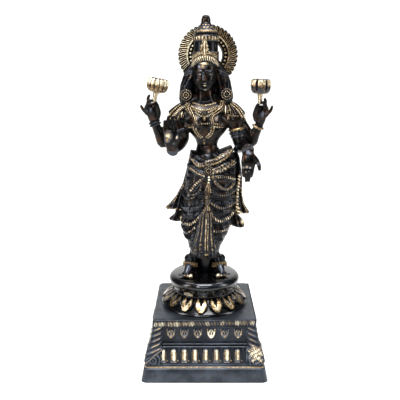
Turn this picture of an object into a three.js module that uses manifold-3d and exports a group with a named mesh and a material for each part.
// A standing four-armed goddess in cast brass: the figure, the round lotus under its feet, and the square
// stepped plinth that carries both. Millimetres, +Z up. The origin is the centre of the plinth's underside,
// and the figure faces -Y.
import * as THREE from "three";
import { mergeVertices } from "three/addons/utils/BufferGeometryUtils.js";
import Module from "manifold-3d";

const wasm = await Module();
wasm.setup();

// Driving dimensions of the plinth, from the floor up.
const FOOT_SIDE = 214;
const FOOT_HEIGHT = 23.5;
const FOOT_DRAFT = 5; // how far each side of the foot leans in
const FOOT_CORNER = 6;
const MOULDING_HEIGHT = 6; // the sloping moulding on the foot
const FLUTE_BAND_HEIGHT = 29;
const BAND_SLOPE = 6;
const RIDGE_HEIGHT = 7;
const DADO_HEIGHT = 26;
const DADO_SIDE = 166;
const CORNICE_HEIGHT = 13;
const CORNICE_SIDE = 172;
const EDGE_CHAMFER = 2;
const FLUTES = 9; // tongues on each side
const FLUTE_PITCH = 17.6;
const FLUTE_WIDTH = 10;
const FLUTE_RELIEF = 2.8;
const LEAVES = 6; // small hanging leaves on each side of the dado
const LEAF_PITCH = 22.6;
const LEAF_WIDTH = 13;
const LEAF_HEIGHT = 17;
const LEAF_RELIEF = 2.6;
const CORNER_WIDTH = 24; // the big corner leaf, along each side, at its foot
const CORNER_TOP_WIDTH = 15;
const CORNER_RELIEF = 4; // how far it stands off the fluted band

// Driving dimensions of the lotus.
const SEAT_GAP = 0.3; // between the lotus and the plinth, and the soles and the lotus
const LOTUS_HEIGHT = 54;
const LOTUS_FOOT_RADIUS = 77;
const LOTUS_NECK_RADIUS = 53;
const SEAT_RADIUS = 60.5;
const SEAT_BULGE = 2.5;
const PETALS = 16;
const PETAL_TURN = -5; // degrees that the front petal stands off the middle
const PETAL_WIDTH = 21;
const PETAL_THICKNESS = 6;
const PETAL_BOW = 3.5; // how far its middle swells out
const PETAL_TIP_INSET = 1.1; // from the rim of the lotus's foot
const PETAL_TIP_RISE = 3.8; // above the plinth's top

// The figure, whose forms are all laid out in shares of this height.
const FIGURE_HEIGHT = 441;

const DARK_BRASS = new THREE.MeshStandardMaterial({ color: 0x25221f, roughness: 0.42, metalness: 0.8 });
const GREY_BRASS = new THREE.MeshStandardMaterial({ color: 0x3b3d42, roughness: 0.5, metalness: 0.7 });

const v3 = (x, y, z) => new THREE.Vector3(x, y, z);
const UP = v3(0, 0, 1);
const mix = THREE.MathUtils.lerp;
const radians = THREE.MathUtils.degToRad;
const QUARTERS = [0, 90, 180, 270];
const CARVED_SIDES = [-90, 0, 90]; // the plinth's back is plain

// A three.js geometry as a solid, turned right way out.
function solid(geometry) {
  const bare = geometry.index ? geometry.toNonIndexed() : geometry;
  const loose = new THREE.BufferGeometry().setAttribute("position", bare.getAttribute("position"));
  const merged = mergeVertices(loose, 1e-4);
  const at = merged.index.array;
  const corners = [];
  for (let i = 0; i < at.length; i += 3) {
    const [a, b, c] = [at[i], at[i + 1], at[i + 2]];
    if (a !== b && b !== c && c !== a) corners.push([a, b, c]);
  }
  const vertProperties = merged.getAttribute("position").array;
  const build = (faces) =>
    new wasm.Manifold(new wasm.Mesh({ numProp: 3, vertProperties, triVerts: new Uint32Array(faces.flat()) }));
  const made = build(corners);
  return made.volume() > 0 ? made : build(corners.map(([a, b, c]) => [a, c, b]));
}

// A solid as a named mesh with flat facets.
function meshOf(made, name, material) {
  const { vertProperties, triVerts } = made.getMesh();
  const geometry = new THREE.BufferGeometry();
  geometry.setAttribute("position", new THREE.BufferAttribute(new Float32Array(vertProperties), 3));
  geometry.setIndex(new THREE.BufferAttribute(new Uint32Array(triVerts), 1));
  const flat = geometry.toNonIndexed();
  flat.computeVertexNormals();
  const mesh = new THREE.Mesh(flat, material);
  mesh.name = name;
  return mesh;
}

const joined = (solids) => solids.reduce((whole, next) => whole.add(next));
const aboutZ = (made, degrees) => made.rotate([0, 0, degrees]);

// A closed net over rings of points: ring k's point i comes from place(i, k), and each end closes on a hub.
function net(columns, rings, place, hub) {
  const rows = rings + 1;
  const sphere = new THREE.SphereGeometry(1, columns, rows);
  const position = sphere.getAttribute("position");
  const uv = sphere.getAttribute("uv");
  for (let n = 0; n < position.count; n++) {
    const row = Math.round((1 - uv.getY(n)) * rows);
    const k = Math.min(Math.max(row - 1, 0), rings - 1);
    const inner = row > 0 && row < rows;
    const p = inner ? place(Math.round(uv.getX(n) * columns) % columns, k) : hub(k);
    position.setXYZ(n, p.x, p.y, p.z);
  }
  return solid(sphere);
}

// A skin over stations that each have a centre and two half-axes. shape gives a scale and a lift by the
// angle, which runs from across (0) to out (90 degrees), and by the station.
function skin(columns, stations, shape = () => [1, 0]) {
  const place = (i, k) => {
    const angle = (2 * Math.PI * i) / columns;
    const { at, across, out } = stations[k];
    const [scale, lift] = shape(angle, k);
    const p = at.clone().addScaledVector(across, scale * Math.cos(angle));
    return p.addScaledVector(out, scale * Math.sin(angle)).addScaledVector(UP, lift);
  };
  return net(columns, stations.length, place, (k) => stations[k].at);
}

// A limb through points, its radius run along radii, its section flattened by flat along side.
function limb(columns, points, radii, { side = v3(0, 1, 0), flat = 1, steps = radii.length } = {}) {
  const line = new THREE.CatmullRomCurve3(points, false, "centripetal");
  const stations = [];
  for (let n = 0; n < steps; n++) {
    const t = n / (steps - 1);
    const s = t * (radii.length - 1);
    const k = Math.min(Math.floor(s), radii.length - 2);
    const radius = mix(radii[k], radii[k + 1], s - k);
    const along = line.getTangent(t);
    const across = along.clone().cross(side).normalize();
    const out = across.clone().cross(along).normalize();
    stations.push({
      at: line.getPoint(t),
      across: across.multiplyScalar(radius),
      out: out.multiplyScalar(radius * flat),
    });
  }
  return skin(columns, stations);
}

// A rounded lump with half-axes a, b and c.
function lump(centre, a, b, c, columns = 7, rows = 4) {
  const ball = new THREE.SphereGeometry(1, columns, rows).rotateX(Math.PI / 2).scale(a, b, c);
  return solid(ball.translate(centre.x, centre.y, centre.z));
}

// A form turned about an upright axis, from [radius, height] pairs.
function turned(profile, sides, x = 0) {
  const outline = profile.map(([radius, z]) => new THREE.Vector2(radius, z));
  return solid(new THREE.LatheGeometry(outline, sides).rotateX(Math.PI / 2).translate(x, 0, 0));
}

// A flat plate from an outline in x and z, with its middle at y.
function plate(shape, thickness, y) {
  const slab = new THREE.ExtrudeGeometry(shape, { depth: thickness, bevelEnabled: false });
  return solid(slab.rotateX(Math.PI / 2).translate(0, y + thickness / 2, 0));
}

// The plinth, as square levels of [half-side, height, corner chamfer].
const mouldingTop = FOOT_HEIGHT + MOULDING_HEIGHT;
const bandTop = mouldingTop + FLUTE_BAND_HEIGHT;
const ridgeTop = bandTop + RIDGE_HEIGHT;
const dadoTop = ridgeTop + DADO_HEIGHT;
const plinthTop = dadoTop + CORNICE_HEIGHT;
const mouldingHalf = FOOT_SIDE / 2 - FOOT_DRAFT - 1;
const bandFootHalf = mouldingHalf - 4;
const bandTopHalf = bandFootHalf - BAND_SLOPE;
const dadoHalf = DADO_SIDE / 2;
const corniceHalf = CORNICE_SIDE / 2;

function squareTower(levels) {
  const place = (i, k) => {
    const [half, z, chamfer] = levels[k];
    const corner = i % 2 ? v3(half, half - chamfer, z) : v3(half, chamfer - half, z);
    return corner.applyAxisAngle(UP, radians(90 * Math.floor(i / 2)));
  };
  return net(8, levels.length, place, (k) => v3(0, 0, levels[k][1]));
}

// A tongue or leaf on a face that leans back from lower half-side to upper half-side.
function boss(x, bottom, top, lower, upper, width, relief, shares) {
  const stations = shares.map(([t, share]) => ({
    at: v3(x, -mix(lower, upper, t), mix(bottom, top, t)),
    across: v3((share * width) / 2, 0, 0),
    out: v3(0, -relief * Math.sqrt(share), 0),
  }));
  return skin(4, stations);
}

function spread(count, pitch, make) {
  return Array.from({ length: count }, (_, i) => make((i - (count - 1) / 2) * pitch));
}

// The big leaf wrapped round each corner, from the foot's moulding up to the cornice.
function cornerLeaf() {
  const levels = [
    [mouldingTop - 1, CORNER_WIDTH, bandFootHalf + 1],
    [mouldingTop + 5, CORNER_WIDTH, bandFootHalf + CORNER_RELIEF],
    [bandTop - 3, mix(CORNER_WIDTH, CORNER_TOP_WIDTH, 0.5), bandTopHalf + CORNER_RELIEF],
    [dadoTop - 5, CORNER_TOP_WIDTH, corniceHalf + 1],
    [dadoTop + 0.5, CORNER_TOP_WIDTH, corniceHalf - 2],
  ];
  const place = (i, k) => {
    const [z, width, half] = levels[k];
    const x = i === 0 || i === 3 ? half : half - width;
    const y = i < 2 ? -half : width - half;
    return v3(x, y, z);
  };
  const hub = (k) => v3(levels[k][2] - levels[k][1] / 2, levels[k][1] / 2 - levels[k][2], levels[k][0]);
  return net(4, levels.length, place, hub);
}

function plinth() {
  const tower = squareTower([
    [FOOT_SIDE / 2, 0, FOOT_CORNER],
    [FOOT_SIDE / 2 - FOOT_DRAFT, FOOT_HEIGHT, FOOT_CORNER],
    [mouldingHalf, FOOT_HEIGHT + 2, FOOT_CORNER],
    [bandFootHalf + 1, mouldingTop, EDGE_CHAMFER],
    [bandFootHalf, mouldingTop, EDGE_CHAMFER],
    [bandTopHalf, bandTop, EDGE_CHAMFER],
    [bandTopHalf + 1.5, bandTop + 1, EDGE_CHAMFER],
    [bandTopHalf - 1, ridgeTop, EDGE_CHAMFER],
    [dadoHalf, ridgeTop, EDGE_CHAMFER],
    [dadoHalf, dadoTop, EDGE_CHAMFER],
    [corniceHalf - 1, dadoTop + 2, EDGE_CHAMFER],
    [corniceHalf, dadoTop + CORNICE_HEIGHT / 2, EDGE_CHAMFER],
    [corniceHalf, plinthTop - 1, EDGE_CHAMFER],
    [corniceHalf - 1, plinthTop, EDGE_CHAMFER],
  ]);
  const tongue = [[0, 0.4], [0.25, 1], [1, 0.8]];
  const flutes = spread(FLUTES, FLUTE_PITCH, (x) =>
    boss(x, mouldingTop + 3, bandTop - 1, bandFootHalf - 0.7, bandTopHalf, FLUTE_WIDTH, FLUTE_RELIEF, tongue),
  );
  const leafShape = [[0, 0.15], [0.6, 1], [1, 0.6]];
  const leafFoot = ridgeTop + (DADO_HEIGHT - LEAF_HEIGHT) / 2;
  const leaves = spread(LEAVES, LEAF_PITCH, (x) =>
    boss(x, leafFoot, leafFoot + LEAF_HEIGHT, dadoHalf, dadoHalf, LEAF_WIDTH, LEAF_RELIEF, leafShape),
  );
  const relief = joined([...flutes, ...leaves]);
  const corners = QUARTERS.map((turn) => aboutZ(cornerLeaf(), turn));
  return joined([tower, ...corners, ...CARVED_SIDES.map((turn) => aboutZ(relief, turn))]);
}

// The lotus: a turned foot and seat, and a ring of petals that hang outwards over the foot.
const lotusBottom = plinthTop + SEAT_GAP;
const lotusTop = lotusBottom + LOTUS_HEIGHT;

function petal(turn) {
  const root = v3(0, 2 - LOTUS_NECK_RADIUS, lotusBottom + LOTUS_HEIGHT * 0.5);
  const tip = v3(0, PETAL_TIP_INSET - LOTUS_FOOT_RADIUS, lotusBottom + PETAL_TIP_RISE);
  const outwards = tip.clone().sub(root).normalize().applyAxisAngle(v3(1, 0, 0), radians(-90));
  const outline = [[0, 0.8], [0.35, 1], [0.7, 0.85], [1, 0.1]];
  const stations = outline.map(([t, share]) => ({
    at: root.clone().lerp(tip, t).addScaledVector(outwards, PETAL_BOW * Math.sin(Math.PI * t)),
    across: v3((share * PETAL_WIDTH) / 2, 0, 0),
    out: outwards.clone().multiplyScalar((PETAL_THICKNESS / 2) * Math.sqrt(share)),
  }));
  return aboutZ(skin(4, stations), turn);
}

function lotus() {
  const foot = LOTUS_FOOT_RADIUS;
  const neck = LOTUS_NECK_RADIUS;
  const profile = [
    [0, 0],
    [foot, 0],
    [foot - 1.5, 0.07],
    [neck, 0.44],
    [SEAT_RADIUS - 3, 0.52],
    [SEAT_RADIUS + SEAT_BULGE * 0.7, 0.66],
    [SEAT_RADIUS + SEAT_BULGE, 0.8],
    [SEAT_RADIUS + SEAT_BULGE * 0.6, 0.93],
    [SEAT_RADIUS - 1, 1],
    [0, 1],
  ];
  const body = turned(profile.map(([radius, share]) => [radius, lotusBottom + share * LOTUS_HEIGHT]), 24);
  const petals = Array.from({ length: PETALS }, (_, i) => petal(PETAL_TURN + (i * 360) / PETALS));
  return joined([body, ...petals]);
}

// The figure is made on a canon of 441 parts from its soles to the tip of its crown, and set to its height
// at the end: x runs to the viewer's right, y to the back, and h up from the soles.
const CANON_PARTS = 441;

// Stations from rows of [height, centre x, centre y, half-width, half-depth].
function upright(rows) {
  return rows.map(([h, x, y, halfWidth, halfDepth]) => ({
    at: v3(x, y, h),
    across: v3(halfWidth, 0, 0),
    out: v3(0, -halfDepth, 0),
  }));
}

// One row of a table, read between its entries.
function between(table, h) {
  const k = Math.max(1, table.findIndex((row) => row[0] >= h));
  const [low, high] = [table[k - 1], table[k]];
  return low.map((value, i) => mix(value, high[i], (h - low[0]) / (high[0] - low[0])));
}

// The wrapped skirt: its outline, the swags that hang across each leg, and the two belts.
const SKIRT = [
  [28, -0.5, -7, 13, 11],
  [33, -0.5, -3, 21.5, 17],
  [40, 1, -1.5, 25, 20],
  [52, 1, -1, 29.5, 22],
  [62, 2.5, 0, 33.5, 23.5],
  [75, 4.5, 0, 38, 25],
  [93, 4, 0, 41, 26.5],
  [115, 5.5, 0.5, 44.5, 27.5],
  [151, 9.3, 1, 44, 28.5],
  [175, 12, 1.5, 43, 28.5],
  [190, 13, 2, 41, 28],
  [203, 12, 2, 37, 26],
  [212, 11, 2, 34, 24],
];
const SKIRT_ROWS = 23;
const SKIRT_COLUMNS = 18;
const LEGS = [
  { middle: -20, edge: 139.5, pitch: 22, sag: 9, top: 166 },
  { middle: 28, edge: 145.5, pitch: 21.5, sag: 6, top: 172 },
];
const SWAG = { half: 19, depth: 3, bottom: 66 };

// How far the cloth stands out from the outline, in canon parts.
function fold(x, h, front) {
  let out = 0;
  for (const { middle, edge, pitch, sag, top } of LEGS) {
    const u = (x - middle) / SWAG.half;
    const hang = h - sag * u * u;
    if (front > 0 && Math.abs(u) < 1.15 && hang < top && hang > SWAG.bottom) {
      const share = (((edge - hang) / pitch) % 1 + 1) % 1;
      out += SWAG.depth * share * Math.min(1, front * 1.6) * (1 - u ** 4 * 0.5);
    }
  }
  if (h > 203) out += 1.6;
  if (h > 184 && h < 192) out += 1.6;
  return out;
}

// The hip line dips at the front and rises to the viewer's right.
function hipLine(angle, h) {
  const weight = THREE.MathUtils.smoothstep(h, 150, 212);
  const c = Math.cos(angle);
  return weight * (3 * c + 6 * c * c - 7 * Math.max(0, Math.sin(angle)));
}

function skirt() {
  const [hem, waist] = [SKIRT[0][0], SKIRT.at(-1)[0]];
  const heights = Array.from({ length: SKIRT_ROWS + 1 }, (_, i) => mix(hem, waist, i / SKIRT_ROWS));
  const rows = heights.map((h) => between(SKIRT, h));
  return skin(SKIRT_COLUMNS, upright(rows), (angle, k) => {
    const [h, x, , halfWidth] = rows[k];
    const out = fold(x + halfWidth * Math.cos(angle), h, Math.sin(angle));
    return [1 + out / halfWidth, hipLine(angle, h)];
  });
}

// Pleats that fan down between the legs, under a clasp, a bell and a ribbed tassel.
function frontFall() {
  const rows = [
    [112, 4.5, -24, 7, 7],
    [90, 3.5, -23.5, 9.5, 6.5],
    [66, 2.5, -21, 11, 6.5],
    [44, 1.5, -18, 12.5, 6],
    [29, 1, -15, 13.5, 5],
  ];
  const pleats = skin(12, upright(rows), (angle) => [Math.round((angle * 6) / Math.PI) % 2 ? 0.86 : 1.04, 0]);
  const clasp = lump(v3(6.7, -27.5, 188.5), 9.5, 4, 10.5, 8, 4);
  const bell = limb(5, [v3(6.7, -30, 166), v3(6.6, -30, 148)], [2, 5.6]);
  const tassel = limb(5, [v3(6.4, -28.5, 150), v3(5.4, -28, 130), v3(4.6, -28, 110)], [4.4, 5, 5.4]);
  return [pleats, clasp, bell, tassel];
}

// Pointed sash ends that hang behind each hip and swing outwards, from [x, h] outlines.
function sash(points, y) {
  const thickness = 8;
  const shape = new THREE.Shape(points.map(([x, h]) => new THREE.Vector2(x, h)));
  return plate(shape, thickness, y);
}

function sashes() {
  const leftUpper = [
    [0, 214], [-23, 218], [-35.5, 166], [-50, 138], [-68.5, 118], [-66, 114], [-54, 114], [-20, 108],
  ];
  const leftLower = [[-20, 130], [-50, 120], [-52, 106], [-63.5, 97], [-61, 93.5], [-39, 92.5], [-20, 92]];
  const rightUpper = [
    [20, 214], [57, 216], [61, 206], [66, 170], [66.5, 140], [70, 124], [80, 109], [78, 106], [61, 106],
    [20, 104],
  ];
  const rightLower = [
    [20, 120], [58, 112], [61, 101], [69, 92], [74, 84], [71, 80.5], [60, 83], [46, 90], [20, 90],
  ];
  const rope = limb(5, [v3(63, 0, 176), v3(62.5, -1, 140), v3(60, -2, 110)], [3, 3, 4.5]);
  return [sash(leftUpper, 6), sash(leftLower, 9), sash(rightUpper, 6), sash(rightLower, 9), rope];
}

// Bare feet, turned a little outwards, each with an anklet, and the shins that run up into the skirt.
function foot(heel, ball, toes, ankle, shin) {
  const sole = limb(6, [heel, ball, toes], [7, 9, 10.8, 7.5], { side: UP, flat: 0.5 });
  const instep = ankle.clone().lerp(ball, 0.5);
  const leg = limb(6, [shin, ankle, instep], [9, 9, 10.8, 8, 7]);
  return [sole, leg];
}

function feet() {
  const left = foot(v3(-20, 12, 5.2), v3(-29, -26, 5), v3(-32, -38, 4), v3(-24, 3, 15), v3(-15, 2, 40));
  const right = foot(v3(22, 13, 5.2), v3(29, -23, 5), v3(32, -35, 4), v3(26, 4, 15), v3(15, 2, 40));
  return [...left, ...right];
}

// The bare waist, the chest, the shoulders and the neck.
function torso() {
  const trunk = skin(10, upright([
    [195, 9, 0, 26, 20],
    [208, 8, 0, 25.5, 21],
    [222, 5, 1, 19, 17],
    [229, 4.5, 1.5, 17, 14.5],
    [238, 4.5, 1, 20, 15.5],
    [249, 5, 0, 29, 18],
    [262, 4, 0, 40, 20],
    [276, 3.5, 1, 47, 19],
    [285, 4, 2, 45, 17],
    [292, 4, 3, 36, 15.5],
    [302, 2, 2.5, 17, 14],
    [326, 0.5, 1, 13.5, 13],
  ]));
  const breasts = [-16, 22].map((x) => lump(v3(x, -15.5, 266), 13.5, 12, 13, 8, 5));
  const shoulders = [
    lump(v3(-46, 3, 273), 18.5, 15, 15.5),
    lump(v3(53, 4, 272), 18.5, 15, 16),
  ];
  return [trunk, ...breasts, ...shoulders];
}

// Thick cords over each breast, and the collar.
function cords() {
  const left = limb(4, [v3(-28, -8, 295), v3(-20, -19, 280), v3(-14, -26, 266)], [4, 4.5, 3.5]);
  const right = limb(4, [v3(41, -7, 298), v3(29, -19, 284), v3(16, -26, 267)], [4, 4.5, 3.5]);
  const neckline = [v3(-24, -9, 295), v3(-10, -16, 289), v3(2, -18, 287), v3(16, -16, 290), v3(32, -9, 297)];
  const collar = limb(4, neckline, [3.6, 3.6], { steps: 5 });
  return [left, right, collar];
}

// The two arms on each side: one forward, one raised behind it.
function arms() {
  const thick = [14, 12.4, 11.4, 10.6, 9.5, 8, 9.6, 9.4];
  const arm = (points) => limb(7, points, thick);
  return [
    arm([v3(-45, 2, 272), v3(-38, 2, 252), v3(-37, 6, 236), v3(-44, -14, 228), v3(-54, -34, 224)]),
    arm([v3(-50, 8, 272), v3(-62, 11, 252), v3(-70, 10, 230), v3(-78, 6, 249), v3(-86, 2, 269)]),
    arm([v3(51, 3, 270), v3(55, 2, 250), v3(61, 6, 229), v3(67, -12, 226), v3(73, -27, 221.5)]),
    arm([v3(57, 8, 268), v3(70, 11, 250), v3(80, 10, 232), v3(86, 6, 246), v3(94, 2, 264)]),
    limb(7, [v3(54, 2, 256), v3(56, 2, 249)], [14, 14]),
  ];
}

// A hand: a flat palm through three points, then a finger through each list of points.
function hand(palm, fingers) {
  const plane = limb(6, palm, [7.5, 10.5, 9.5], { flat: 0.55 });
  const digits = fingers.map((points) => limb(4, points, [3.1, 1.9], { steps: points.length }));
  return [plane, ...digits];
}

function hands() {
  const blessing = hand([v3(-54, -36, 222), v3(-56, -39, 238), v3(-56, -40, 257)], [
    [v3(-62.5, -40, 246), v3(-64, -41, 274)],
    [v3(-58, -40, 246), v3(-58.8, -42, 281)],
    [v3(-53.5, -40, 246), v3(-53, -42, 281)],
    [v3(-49, -40, 246), v3(-47.5, -41, 276)],
    [v3(-52, -38, 228), v3(-42, -42, 244), v3(-38.5, -42, 261)],
  ]);
  const giving = hand([v3(73, -27, 221), v3(73, -32, 208), v3(72.5, -32, 193)], [
    [v3(65, -32, 204), v3(65.5, -30, 177)],
    [v3(70, -32, 204), v3(71, -30, 168)],
    [v3(75, -32, 204), v3(76.5, -30, 167)],
    [v3(79.5, -32, 204), v3(81, -30, 172)],
    [v3(78, -32, 217), v3(89, -33, 205), v3(92, -33, 190)],
  ]);
  const left = hand([v3(-85, 2, 267), v3(-88, -1, 279), v3(-89, -2, 293)], [
    [v3(-93, -1, 276), v3(-101, -4, 287), v3(-106.5, -4, 294)],
    [v3(-94, -3, 286), v3(-97, -8, 298), v3(-90, -9, 299)],
    [v3(-90, -3, 288), v3(-93, -8, 304), v3(-86, -9, 304)],
    [v3(-80, -2, 276), v3(-78.5, -6, 290), v3(-83, -9, 302)],
  ]);
  const right = hand([v3(93, 2, 262), v3(95, -1, 276), v3(96, -2, 290)], [
    [v3(100, -1, 272), v3(108, -4, 284), v3(113.5, -4, 294)],
    [v3(101, -3, 283), v3(104, -8, 295), v3(97, -9, 297)],
    [v3(97, -3, 286), v3(101, -8, 301), v3(94, -9, 302)],
    [v3(87, -2, 273), v3(86, -6, 287), v3(90, -9, 299)],
  ]);
  return [...blessing, ...giving, ...left, ...right];
}

// A half-open flower on its stem: foot and head are points of the stem and the flower's top.
function flower(foot, base, head, width) {
  const stem = limb(5, [foot, base], [3, 5.2]);
  const shares = [[0, 0.4], [0.15, 0.78], [0.45, 1], [0.8, 0.96], [1, 0.6]];
  const along = head.clone().sub(base).normalize();
  const across = v3(along.z, 0, -along.x).multiplyScalar(width / 2);
  const out = v3(0, -width / 2, 0);
  const stations = shares.map(([t, share]) => ({
    at: base.clone().lerp(head, t),
    across: across.clone().multiplyScalar(share),
    out: out.clone().multiplyScalar(share),
  }));
  const cup = skin(12, stations, (angle) => [0.93 + 0.07 * Math.cos(6 * angle + Math.PI), 0]);
  return [stem, cup];
}

function flowers() {
  return [
    ...flower(v3(-84.5, -6, 300), v3(-80.2, -2, 317.5), v3(-75.6, -2, 340), 36),
    ...flower(v3(93, -6, 297), v3(93.2, -2, 314.5), v3(94, -2, 338), 35),
  ];
}

// The head is plain and calm, and is turned a little to the viewer's left.
const HEAD = { turn: -8, x: 0.8 };

function head() {
  const skull = skin(12, upright([
    [318, 0, -11, 6, 6],
    [321, 0, -8.5, 11, 11],
    [329, 0, -4, 16.5, 17.5],
    [340, 0, -1, 20, 21],
    [354, 0, -0.5, 20.6, 21.7],
    [368, 0, 0, 19.5, 20.5],
  ]));
  const nose = limb(4, [v3(0, -20.5, 352), v3(0, -23.5, 338)], [1.8, 3.4]);
  const ear = (s) => limb(5, [v3(20 * s, 1, 352), v3(24 * s, 0, 336), v3(29 * s, -1, 321)], [3.5, 4, 3.2]);
  const ears = [-1, 1].map(ear);
  return [aboutZ(joined([skull, nose, ...ears]), HEAD.turn).translate([HEAD.x, 0, 0])];
}

// The tall crown: a rolled fillet, a drum, an upper roll, a stepped cone and a round finial.
function crown() {
  const middle = 2.5;
  const profile = [
    [0, 362], [21.5, 362], [21.5, 381], [19.5, 383], [19.4, 398], [21, 401], [20.8, 408], [18.2, 410.5],
    [18.8, 415.5], [14, 418.5], [9, 425], [7, 434], [4.6, 438.8], [0, 441],
  ];
  const stack = turned(profile, 12, middle);
  const ornament = lump(v3(-0.5, -19, 389), 6.5, 4, 13, 6, 4);
  const arch = [v3(-20, -6, 360), v3(-13, -18, 366), v3(-0.5, -23, 371), v3(14, -19, 367), v3(23.5, -7, 360)];
  const fillet = limb(4, arch, [2.8, 2.8], { steps: 6 });
  return [stack, ornament, fillet];
}

// Locks of hair behind the ears, down to the shoulders, and a round ear ornament on each side.
function hair() {
  return [
    limb(6, [v3(-18, 9, 360), v3(-27, 8, 335), v3(-31, 8, 310), v3(-31, 7, 292)], [10, 11, 11.5, 9]),
    limb(6, [v3(22, 9, 360), v3(31, 8, 335), v3(36, 8, 312), v3(36, 7, 294)], [10, 11.5, 12, 9.5]),
    limb(6, [v3(2, 11, 362), v3(2, 14, 335), v3(3, 14, 305), v3(3, 13, 285)], [18, 27, 27, 20], { flat: 0.45 }),
    lump(v3(-31, -3, 312.5), 9.5, 5, 9.5, 8, 4),
    lump(v3(37, -3, 314), 9.5, 5, 9.5, 8, 4),
  ];
}

// The halo: an open ring behind the crown, with a flat rim and a fringe of short flames.
const HALO = { radius: 49.5, flames: 40, fringe: 3, rim: 35, hole: 26.5, x: 5.8, y: 18, h: 377.5 };

function halo() {
  const centre = new THREE.Vector2(HALO.x, HALO.h);
  const ring = (count, radius) =>
    Array.from({ length: count }, (_, i) => {
      const angle = (2 * Math.PI * i) / count;
      return new THREE.Vector2(Math.cos(angle), Math.sin(angle)).multiplyScalar(radius(i)).add(centre);
    });
  const hole = (radius, count) => new THREE.Path(ring(count, () => radius));
  const fringe = new THREE.Shape(ring(2 * HALO.flames, (i) => HALO.radius - (i % 2) * HALO.fringe));
  fringe.holes.push(hole(HALO.rim - 2, 16));
  const rim = new THREE.Shape(ring(18, () => HALO.rim));
  rim.holes.push(hole(HALO.hole, 18));
  return [plate(fringe, 4, HALO.y), plate(rim, 7, HALO.y)];
}

function figure() {
  const body = [skirt(), ...frontFall(), ...sashes(), ...feet(), ...torso(), ...cords(), ...arms(), ...hands()];
  const canon = joined([...body, ...flowers(), ...head(), ...crown(), ...hair(), ...halo()]);
  return canon.scale(FIGURE_HEIGHT / CANON_PARTS).translate([0, 0, lotusTop + SEAT_GAP]);
}

const goddess = new THREE.Group();
goddess.add(meshOf(plinth(), "plinth", GREY_BRASS));
goddess.add(meshOf(lotus(), "lotus_base", DARK_BRASS));
goddess.add(meshOf(figure(), "figure", DARK_BRASS));

export default goddess;
